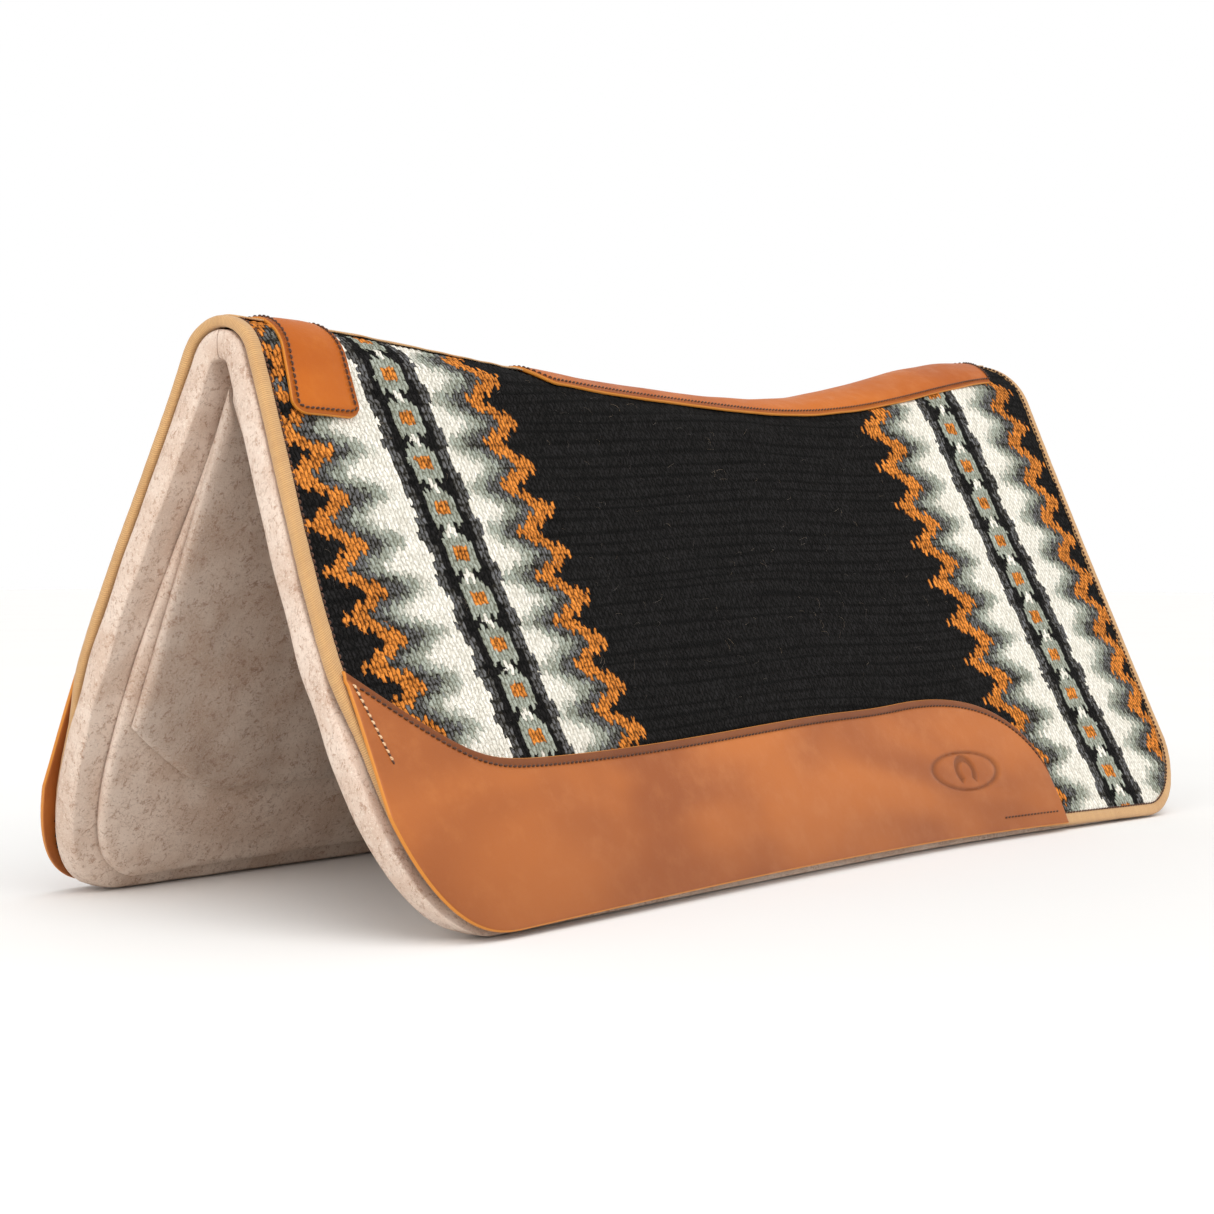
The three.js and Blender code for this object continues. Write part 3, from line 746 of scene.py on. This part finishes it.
def ridgePiece(name, rearX, frontX, reach, skew, material, columns, rows):
    # a plate laid over the ridge, s from -reach to reach; its edges sink towards the wool
    edge = ridgeLeather["edge"]
    offR, shareR, offC, shareC, full = softGrid(rows, columns, edge)
    along = rearX + offC + shareC * (frontX - rearX - 2 * edge)
    wide = reach(along)
    s = -wide + offR + shareR * (2 * wide - 2 * edge)
    x = along + skew(along) * np.abs(s)
    fromEdge = np.minimum(wide - np.abs(s), np.minimum(along - rearX, frontX - along))
    inset = ridgeLeather["stitchInset"]
    lift = ridgeLeather["lift"] * (1 - np.clip(np.abs(s) / ridgeLeather["liftReach"], 0, 1) ** 2)
    groove = ridgeLeather["groove"] * np.exp(-((fromEdge - inset) / ridgeLeather["grooveWide"]) ** 2)
    middle = ridgeLeather["middle"] - lift + groove
    middle = middle - 0.0004 * smooth(fromEdge, inset, 0.014) + 0.0003 * waves(x, s, 0.07, 41)
    upper = padPoint(x, s, middle - ridgeLeather["thick"] / 2 * full)
    lower = padPoint(x, s, middle + ridgeLeather["thick"] / 2 * full)
    margin = 1 - smooth(fromEdge, inset - 0.001, inset)
    attributes = {"margin": margin * 0.6 + 0 * x, "cut": (full < 0.8).astype(float)}
    return dressed(slab(name, upper, lower, -1, attributes=attributes), material)


tape = dict(
    half=0.0041, deep=0.0031, centre=0.0044, depth=0.0019, ribs=0.0011, squareness=0.62, step=0.0017,
    roundMm=20, stitchBorder=0.0083, stitchDepth=-0.0007, stitchStep=0.004,
    spineReach=0.009, spineBorder=0.006, spineDepth=-0.0013, spineHalf=0.0005,
)


def tapeMaterial():
    material, f, shader = newMaterial("binding_tape", 0.82, sheen=0.2, specular=0.2)
    u, v, _ = f.parts(f.weaveMap())  # millimetres along and across
    rib = f.fract(f.over(u, tape["ribs"] * 1000))
    ridge = f.sine(f.mul(rib, pi))
    chance = f.randoms(f.vector(f.floor(f.over(u, tape["ribs"] * 1000)), 0.0, 2.0))["Value"]
    fray = f.noise(f.vector(f.mul(u, 1.6), f.mul(v, 1.6), 0.0), 1.0, 3.0, 0.7)
    slow = f.noise(f.vector(f.mul(u, 0.03), 0.0, 4.0), 1.0, 2.0)
    # painted shade in the grooves between the ribs, lighter on their crests
    colour = f.mix(f.ramp(ridge, 0.0, 0.8), tint("A87C4C"), tint("CDA26C"))
    colour = f.mix(f.mul(chance, 0.35), colour, tint("B5875A"))
    colour = f.mix(f.ramp(fray, 0.5, 0.8, 0.0, 0.5), colour, tint("DDB987"))
    colour = f.mix(f.ramp(slow, 0.4, 0.7, 0.0, 0.3), colour, tint("A67A4A"))
    f.paint(shader, colour, f.add(ridge, f.mul(fray, 0.6)), 0.0003, 0.6)
    return material


def outline(count):
    # shares along and down both flaps as one loop: left front, hem, rear, then the right flap back
    down = np.linspace(0, 1, count) ** 0.75
    down = np.concatenate([down[down < 0.97], 1 - 0.03 * (1 - np.linspace(0, 1, 30)[1:]) ** 2.5])
    hem = np.linspace(1, 0, count)[1:-1]
    v = np.concatenate([down, 1 + 0 * hem, down[::-1]])
    u = np.concatenate([1 + 0 * down, hem, 0 * down])
    side = np.concatenate([1 + 0 * v, -1 + 0 * v])
    return np.concatenate([u, u[::-1]]), np.concatenate([v, v[::-1]]), side


def outlineAt(u, v, border):
    x = endX(v, -1, border) * (1 - u) + endX(v, 1, border) * u
    return x, v * (hemLength(x) - border)


def evenly(points, step, closed=True):
    # positions every step along a line of points, as fractional indices
    ahead = np.vstack([points, points[:1]]) if closed else points
    along = np.concatenate([[0], np.cumsum(np.linalg.norm(np.diff(ahead, axis=0), axis=1))])
    count = int(round(along[-1] / step))
    at = np.linspace(0, along[-1], count, endpoint=not closed)
    return np.interp(at, along, np.arange(len(ahead))), at, count


def sampleLine(values, index):
    values = np.concatenate([values, values[:1]])
    return np.interp(index, np.arange(len(values)), values)


def bindingLine(step):
    # shares of the outline at even steps round the whole loop
    u, v, side = outline(260)
    x, s = outlineAt(u, v, tape["centre"] + edgeSetIn(u, v))
    points = padPoint(x, side * np.maximum(s, 1e-6), 0)
    index, at, _ = evenly(points, step)
    return sampleLine(u, index), sampleLine(v, index), np.sign(sampleLine(side, index) + 1e-9), at


def edgeBinding(material):
    # a rounded-rectangle section rolled round the margin: border = c - a cos t, depth = d - b sin t
    u, v, side, at = bindingLine(tape["step"])
    around = 18
    turn = 2 * pi * np.arange(around) / around
    fat = lambda c: np.sign(c) * np.abs(c) ** tape["squareness"]
    pucker = 1 + 0.012 * waves(at, 0 * at, 0.009, 51) + 0.02 * waves(at, 0 * at, 0.05, 52)
    border = tape["centre"] - tape["half"] * fat(np.cos(turn))[None, :] * pucker[:, None]
    border = border + edgeSetIn(u, v)[:, None]
    depth = tape["depth"] - tape["deep"] * fat(np.sin(turn))[None, :] * pucker[:, None]
    x, s = outlineAt(u[:, None] + 0 * border, v[:, None] + 0 * border, border)
    points = padPoint(x, side[:, None] * s, depth)
    faces = ringFaces(len(u), around, loop=True)
    # millimetres along and round, a whole number of ribs long so that the loop closes
    long = round((at[-1] + at[1]) / tape["ribs"]) * tape["ribs"] * 1000
    along = at[:, None] / (at[-1] + at[1]) * long + 0 * border
    across = tape["roundMm"] * turn[None, :] / (2 * pi) + 0 * border
    uv = np.stack([along, across], -1)
    corners = uv.reshape(-1, 2)[faces]
    corners[..., 0] += long * ((faces < around) & (faces.max(1, keepdims=True) >= 2 * around))
    spoke = faces % around
    corners[..., 1] += tape["roundMm"] * (
        (spoke == 0) & (spoke.max(1, keepdims=True) == around - 1))
    return dressed(meshFrom("edgeBinding", points, faces, corners, sharp=0), material)


def spineTape(material):
    rearX, frontX = pad["rearX"] + tape["spineBorder"], pad["frontX"] - tape["spineBorder"]
    offC, shareC, fullC = softShares(420, 0.0005)
    offR, shareR, fullR = softShares(14, 0.0006)
    x = (rearX + offC + shareC * (frontX - rearX - 0.001))[None, :] + 0 * offR[:, None]
    reach = tape["spineReach"]
    s = (-reach + offR + shareR * (2 * reach - 0.0012))[:, None] + 0 * x
    full = np.minimum(fullR[:, None], fullC[None, :])
    middle = tape["spineDepth"] + 0.0002 * waves(x, s, 0.02, 55)
    uv = np.stack([x * 1000, s * 1000], -1)
    outer = padPoint(x, s, middle - tape["spineHalf"] * full)
    inner = padPoint(x, s, middle + tape["spineHalf"] * full)
    return dressed(slab("spineTape", outer, inner, -1, uv=uv), material)


stitch = dict(long=0.0028, pitch=0.0036, thick=0.00062, slant=0.16, rise=0.0006, sink=0.0002)


def threadMaterial(name, base, pale):
    material, f, shader = newMaterial(name, 0.6, sheen=0.1, specular=0.3)
    place = f.place()
    twist = f.noise(f.stretched(place, (1.0, 1.0, 1.0), (0.3, 0.7, 0.2)), 1500.0, 2.0)
    colour = f.mix(f.ramp(twist, 0.35, 0.65), tint(base), tint(pale))
    f.paint(shader, colour, twist, 0.0002, 0.6)
    return material


def stitches(name, runs, material):
    # each stitch is a small spindle: six-sided rings whose radius and height follow a half sine
    around, rings = 6, 6
    t = np.linspace(0.04, 0.96, rings)
    turn = 2 * pi * np.arange(around) / around
    allPoints, allFaces, start = [], [], 0
    for x, s, depth, closed in runs:
        line = padPoint(x, s, depth)
        index, _, count = evenly(line, stitch["pitch"], closed)
        take = (lambda values: sampleLine(values, index)) if closed else (
            lambda values: np.interp(index, np.arange(len(values)), values))
        centre = np.stack([take(line[:, k]) for k in range(3)], -1)
        ahead = unit(np.stack([take(np.gradient(line[:, k])) for k in range(3)], -1))
        up = unit(padNormal(take(x), np.sign(take(s) + 1e-9) * np.abs(take(s))))
        across = unit(np.cross(up, ahead))
        ahead = ahead + stitch["slant"] * across
        bulge = np.sin(pi * t)
        radius = stitch["thick"] * (0.35 + 0.65 * bulge ** 0.5)
        length = (t - 0.5) * stitch["long"]
        height = stitch["rise"] * bulge - stitch["sink"]
        spin = np.cos(turn)[None, :] * radius[:, None]
        lift = np.sin(turn)[None, :] * radius[:, None] + height[:, None]
        centre, ahead, across, up = (each[:, None, None] for each in (centre, ahead, across, up))
        points = centre + ahead * length[:, None, None] + across * spin[..., None]
        points = points + up * lift[..., None]
        size = rings * around
        many = repeated(ringFaces(rings, around, loop=False), count, size) + start
        cap = np.array([[0, 1, 2, 3], [0, 3, 4, 5]])
        caps = np.concatenate([cap, size - around + cap[:, ::-1]])
        caps = repeated(caps, count, size) + start
        allPoints.append(points.reshape(-1, 3))
        allFaces += [many, caps]
        start += points.size // 3
    piece = meshFrom(name, np.concatenate(allPoints), np.concatenate(allFaces), sharp=0)
    return dressed(piece, material)


wearRows = dict(
    tip=0.008, rearX=(-0.160, -0.222), rearUp=0.009,
    frontIn=0.003, frontBack=0.009, frontS=0.218, frontLong=0.038, underIn=0.0005, underS=0.2198,
)


def wearRuns(side):
    inset, depth = wear["stitchInset"], wear["depth"]
    x = np.linspace(wear["frontX"] - wearRows["tip"], wear["rearX"] + inset, 400)
    upper = (x, side * (wearTop(x) + inset), depth + 0.0010, False)
    back = np.linspace(*wearRows["rearX"], 40)
    rear = (back, side * (wearBottom(back) - wearRows["rearUp"]), depth + 0.0006, False)
    # the short front row is pale, over a dark one half a stitch further down
    down = np.linspace(0, 1, 30)
    x = wear["frontX"] - wearRows["frontIn"] - wearRows["frontBack"] * down
    run = wearRows["frontLong"] * down
    front = (x, side * (wearRows["frontS"] + run), depth + 0.0004, False)
    under = (x - wearRows["underIn"], side * (wearRows["underS"] + run), depth + 0.0007, False)
    return upper, rear, front, under


def ridgeLoop(rearX, frontX, reach, skew):
    # the loop inside a ridge piece's edge
    inset = ridgeLeather["stitchInset"]
    along = np.linspace(rearX + inset, frontX - inset, 200)
    side = np.maximum(reach(along) - inset, 0.002)
    across = np.linspace(1, -1, 60)[1:-1]
    x = np.concatenate([along, frontX - inset + 0 * across, along[::-1], rearX + inset + 0 * across])
    s = np.concatenate([side, side[-1] * across, -side[::-1], -side[0] * across])
    return x + skew(x) * np.abs(s), s, ridgeLeather["threadDepth"] + 0 * s, True


fuzz = dict(count=330, thick=0.00005, long=0.006)


def woolFuzz(side, material):
    # thin three-sided hairs: an arc that leaves the weave at a low angle and curls
    r = np.random.default_rng(71 if side > 0 else 72)
    n = fuzz["count"]
    x = r.uniform(-0.395, 0.395, n)
    s = r.uniform(0.03, 0.97, n) ** 0.9 * (wearTop(x) - 0.01)
    behind = x < wear["rearX"] - 0.01
    s = np.where(behind, r.uniform(0.05, 0.95, n) * (hemLength(x) - 0.02), s)
    base = padPoint(x, side * s, -0.0002)
    up = padNormal(x, side * s)
    heading = r.uniform(0, 2 * pi, n)
    flat = np.stack([np.cos(heading), np.sin(heading), 0 * heading], -1)
    flat = unit(flat - up * (flat * up).sum(1, keepdims=True))
    bend = np.cross(up, flat)
    long = fuzz["long"] * r.uniform(0.35, 1.3, n)
    t = np.linspace(0, 1, 7)
    rise = r.uniform(0.15, 0.5, n)[:, None] * np.sin(pi * 0.8 * t)[None, :]
    curl = r.normal(0, 0.5, n)[:, None] * (t ** 2)[None, :]
    line = base[:, None, :] + long[:, None, None] * (
        flat[:, None, :] * t[None, :, None]
        + up[:, None, :] * rise[..., None]
        + bend[:, None, :] * curl[..., None])
    turn = 2 * pi * np.arange(3) / 3
    radius = fuzz["thick"] * (1 - 0.7 * t)
    ring = (
        up[:, None, None, :] * np.cos(turn)[None, None, :, None]
        + bend[:, None, None, :] * np.sin(turn)[None, None, :, None])
    points = line[:, :, None, :] + ring * radius[None, :, None, None]
    faces = repeated(ringFaces(7, 3, loop=False), n, 21)
    return dressed(meshFrom(sided("woolFuzz", side), points, faces, sharp=0), material)


def fuzzMaterial():
    material, f, shader = newMaterial("loose_fibre", 0.8, sheen=0.3, specular=0.2)
    chance = f.noise(f.place(), 35.0, 1.0)
    colour = f.mix(f.ramp(chance, 0.42, 0.6), tint("5E5148"), tint("A08A70"))
    f.put(shader.inputs["Base Color"], colour)
    return material


def acrossRidge(piece, nodes):
    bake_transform(piece)
    finishPiece(nodes)


def onFlap(piece, side, nodes):
    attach(piece, "left_half" if side > 0 else "right_half")
    finishPiece(nodes)


def finishPiece(nodes):
    if nodes:
        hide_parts(*nodes)


wool = wovenMaterial()
fuzzLook = fuzzMaterial()
feltLook = feltMaterial("felt", 1.0)
barLook = feltMaterial("felt_bar", 0.86)
wearLook = leatherMaterial("wear_leather", "B96B31", "C98045", "955126", "C98032", 0.40)
ridgeLook = leatherMaterial("ridge_leather", "C06612", "CE7A22", "AA540C", "C9802E", 0.46)
tapeLook = tapeMaterial()
darkThread = threadMaterial("dark_thread", "351B0E", "5A341C")
paleThread = threadMaterial("pale_thread", "C9986A", "E8CDA6")

for side, word in ((1, "left"), (-1, "right")):
    top = wovenTop(side, wool)
    acrossRidge(top, ["woven_top_" + word])
    acrossRidge(woolFuzz(side, fuzzLook), [])
    print("woven top", word)

    for build, node, look, slotName in (
        (feltBase, "felt_base_", feltLook, "felt"), (feltPanel, "felt_panel_", feltLook, "felt"),
        (feltBar, "felt_bar_", barLook, "felt_bar"),
    ):
        layer = dressed(build(side), look)
        acrossRidge(layer, [node + word])
    print("felt", word)

    onFlap(wearLeather(side, wearLook), side, ["wear_leather_" + word])
    upper, rear, front, under = wearRuns(side)
    dark = stitches("wearStitches_" + word, [upper, rear, under], darkThread)
    onFlap(dark, side, ["wear_upper_thread_" + word, "wear_rear_thread_" + word])
    pale = stitches("wearFrontStitches_" + word, [front], paleThread)
    onFlap(pale, side, ["wear_front_thread_" + word])
    print("wear leather", word)

acrossRidge(edgeBinding(tapeLook), ["edge_binding_left", "edge_binding_right"])
u, v, side, at = bindingLine(tape["stitchStep"])
x, s = outlineAt(u, v, tape["stitchBorder"] + edgeSetIn(u, v))
bindingRun = [(x, side * s, 0 * x + tape["stitchDepth"], True)]
bindingStitches = stitches("bindingStitches", bindingRun, darkThread)
acrossRidge(bindingStitches, ["binding_thread_left", "binding_thread_right"])
acrossRidge(spineTape(tapeLook), ["spine_tape"])
print("binding")

for name, stitchName, node, shape, reach, skew, columns, rows in (
    ("withersPatch", "withersStitches", "withers_patch", patch, patchReach, patchSkew, 40, 110),
    ("spineStrip", "spineStitches", "spine_strip", strip, stripReach, stripSkew, 260, 60),
):
    rearX, frontX = shape["rearX"], shape["frontX"]
    plate = ridgePiece(name, rearX, frontX, reach, skew, ridgeLook, columns, rows)
    acrossRidge(plate, [node])
    run = ridgeLoop(rearX, frontX, reach, skew)
    acrossRidge(stitches(stitchName, [run], darkThread), [node + "_thread"])
print("ridge leathers")


studio = dict(
    cameraAt=(1.2029, 0.8641, 0.1810), yaw=radians(-142.59), pitch=radians(-0.97), lens=67.2,
    floor="F4F3F1", floorClouds="F0EFED", horizon=1.0, zenith=0.60,
    sunFrom=(0.30, 0.66, 0.90), sunPower=1.75, sunSpread=radians(60),
    frontFrom=(2.3, 0.3, 0.9), frontAim=(0, 0, 0.12), frontSize=1.4, frontPower=12,
)


def floorPlane():
    bpy.ops.mesh.primitive_plane_add(size=30, location=(0, 0, -0.0005))
    floor = bpy.context.object
    floor.name = "studioFloor"
    material, f, shader = newMaterial("studio_floor", 0.9, specular=0.1)
    clouds = f.mix(f.noise(f.place(), 3.0), tint(studio["floor"]), tint(studio["floorClouds"]))
    f.put(shader.inputs["Base Color"], clouds)
    dressed(floor, material)


def addLamp(name, kind, power, facing):
    data = bpy.data.lights.new(name, kind)
    data.energy = power
    lamp = bpy.data.objects.new(name, data)
    bpy.context.scene.collection.objects.link(lamp)
    lamp.rotation_euler = facing.to_euler()
    return lamp, data


def frontLight():
    # a small soft box in front
    aim = Vector(studio["frontAim"]) - Vector(studio["frontFrom"])
    lamp, data = addLamp("frontLight", "AREA", studio["frontPower"], aim.to_track_quat("-Z", "Y"))
    data.shape = "SQUARE"
    data.size = studio["frontSize"]
    lamp.location = studio["frontFrom"]


def keyLight():
    # one broad, even sun
    facing = Vector(studio["sunFrom"]).to_track_quat("Z", "Y")
    addLamp("keyLight", "SUN", studio["sunPower"], facing)[1].angle = studio["sunSpread"]


def paleWalls():
    # white walls round a darker ceiling
    world = bpy.data.worlds.new("studioWorld")
    world.use_nodes = True
    f = Formula(world.node_tree)
    sky = world.node_tree.nodes["Background"]
    up = f.parts(f.node("TexCoord").outputs["Generated"])[2]
    level = f.ramp(up, 0.25, 0.75, studio["horizon"], studio["zenith"])
    f.put(sky.inputs["Strength"], level)
    sky.inputs["Color"].default_value = (1.0, 1.0, 1.0, 1.0)
    bpy.context.scene.world = world


floorPlane()
paleWalls()
keyLight()
frontLight()

scene = bpy.context.scene
scene.view_settings.view_transform = "Standard"
cameraData = bpy.data.cameras.new("studioCamera")
cameraData.lens = studio["lens"]
cameraData.sensor_width = 36
camera = bpy.data.objects.new("studioCamera", cameraData)
scene.collection.objects.link(camera)
camera.location = studio["cameraAt"]
yaw, pitch = studio["yaw"], studio["pitch"]
facing = Vector((np.cos(pitch) * np.cos(yaw), np.cos(pitch) * np.sin(yaw), np.sin(pitch)))
camera.rotation_euler = facing.to_track_quat("-Z", "Y").to_euler()
scene.camera = camera
print("studio")
